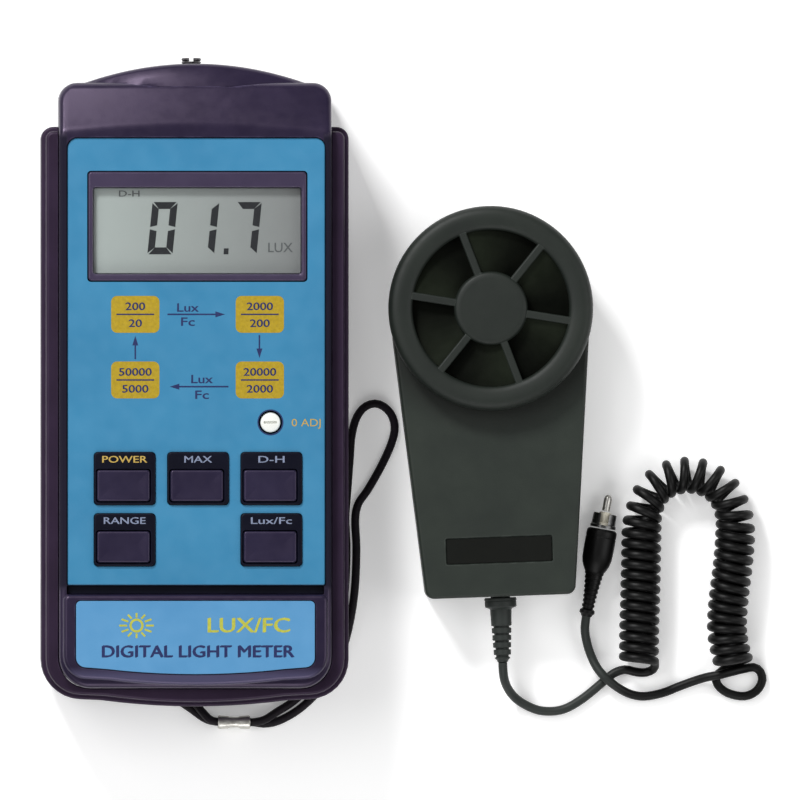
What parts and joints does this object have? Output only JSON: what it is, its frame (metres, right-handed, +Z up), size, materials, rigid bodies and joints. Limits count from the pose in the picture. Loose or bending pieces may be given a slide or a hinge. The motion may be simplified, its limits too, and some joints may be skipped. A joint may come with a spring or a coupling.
{
  "type": "light meter",
  "caption": "Hand-held digital light meter with push keys and a wrist strap, and a separate capped light probe on a curly cord that ends in a round plug.",
  "frame": {"origin": "middle of the base of the meter and the probe as they lie side by side, on the surface they lie on; the cord and the strap are left out of it", "axes": "+Z up out of the meter's face, +Y towards the meter's top end with the probe socket, +X from the meter to the probe"},
  "size_m": [0.1857, 0.1711, 0.036],
  "materials": {
    "casing": "fine-textured dark purple moulding",
    "guard": "soft satin dark purple",
    "panel_blue": "satin printed sheet",
    "label_blue": "satin printed sheet",
    "key_black": "satin",
    "key_cap": "satin",
    "window": "clear acrylic",
    "display": "grey liquid crystal cell",
    "rubber": "matt",
    "board": "solder mask",
    "component": "matt",
    "white": "satin",
    "metal": "nickel plated",
    "steel": "plain",
    "battery": "printed jacket",
    "probe": "fine-textured dark green-grey moulding",
    "probe_cap": "fine-textured dark green-grey moulding",
    "label_black": "matt sheet",
    "filter": "green absorbing glass",
    "cord": "satin black",
    "strap": "smooth woven cord",
    "insulator": "cream moulding"
  },
  "bodies": {
    "meter": {"battery": "battery", "battery_snap": "component", "case_screw_1": "steel", "case_screw_2": "steel", "case_screw_3": "steel", "case_screw_4": "steel", "circuit_board": "board", "display_bezel": "casing", "display_connector": "rubber", "display_glass": "display", "display_window": "window", "face_panel": "panel_blue", "foot_1": "rubber", "foot_2": "rubber", "foot_3": "rubber", "foot_4": "rubber", "front_case": "casing", "guard_frame": "guard", "hold_switch": "component", "key_bezel": "key_black", "max_switch": "component", "name_panel": "label_blue", "power_switch": "component", "probe_socket": "metal", "range_switch": "component", "rear_case": "casing", "socket_contact": "insulator", "socket_nut": "steel", "strap_crimp": "metal", "strap_post": "steel", "unit_switch": "component", "wrist_strap": "strap", "zero_trimmer": "component"},
    "power_key": {"power_key": "key_cap"},
    "max_key": {"max_key": "key_cap"},
    "hold_key": {"hold_key": "key_cap"},
    "range_key": {"range_key": "key_cap"},
    "unit_key": {"unit_key": "key_cap"},
    "zero_adjust": {"zero_rotor": "white"},
    "battery_cover": {"battery_door": "casing"},
    "probe": {"probe_front_shell": "probe", "probe_rear_shell": "probe", "diffuser_dome": "white", "optical_filter": "filter", "photodiode": "steel", "sensor_board": "board", "probe_label": "label_black", "probe_screw_1": "steel", "probe_screw_2": "steel", "cord_grip": "cord", "probe_lead": "cord", "curly_cord": "cord", "plug_lead": "cord", "plug_body": "cord", "plug_shell": "steel", "plug_insulator": "insulator", "plug_pin": "metal"},
    "cap": {"probe_cap": "probe_cap"}
  },
  "joints": [
    {"name": "power_key_press", "type": "slide", "parent": "meter", "child": "power_key", "axis": [0, 0, -1], "range_m": [0, 0.0008], "stiffness_N_per_m": 1500, "springref_m": -0.0003},
    {"name": "max_key_press", "type": "slide", "parent": "meter", "child": "max_key", "axis": [0, 0, -1], "range_m": [0, 0.0008], "stiffness_N_per_m": 1500, "springref_m": -0.0003},
    {"name": "hold_key_press", "type": "slide", "parent": "meter", "child": "hold_key", "axis": [0, 0, -1], "range_m": [0, 0.0008], "stiffness_N_per_m": 1500, "springref_m": -0.0003},
    {"name": "range_key_press", "type": "slide", "parent": "meter", "child": "range_key", "axis": [0, 0, -1], "range_m": [0, 0.0008], "stiffness_N_per_m": 1500, "springref_m": -0.0003},
    {"name": "unit_key_press", "type": "slide", "parent": "meter", "child": "unit_key", "axis": [0, 0, -1], "range_m": [0, 0.0008], "stiffness_N_per_m": 1500, "springref_m": -0.0003},
    {"name": "zero_adjust_turn", "type": "hinge", "parent": "meter", "child": "zero_adjust", "pos_m": [-0.0121, -0.01025, 0.0306], "axis": [0, 0, 1], "range_deg": [-130, 130]},
    {"name": "battery_cover_slide", "type": "slide", "parent": "meter", "child": "battery_cover", "axis": [0, -1, 0], "range_m": [0, 0.008]},
    {"name": "probe_lift", "type": "slide", "parent": "meter", "child": "probe", "axis": [0, 0, 1], "range_m": [0, 0.06]},
    {"name": "cap_lift", "type": "slide", "parent": "probe", "child": "cap", "axis": [0, 0, 1], "range_m": [0, 0.03]}
  ]
}
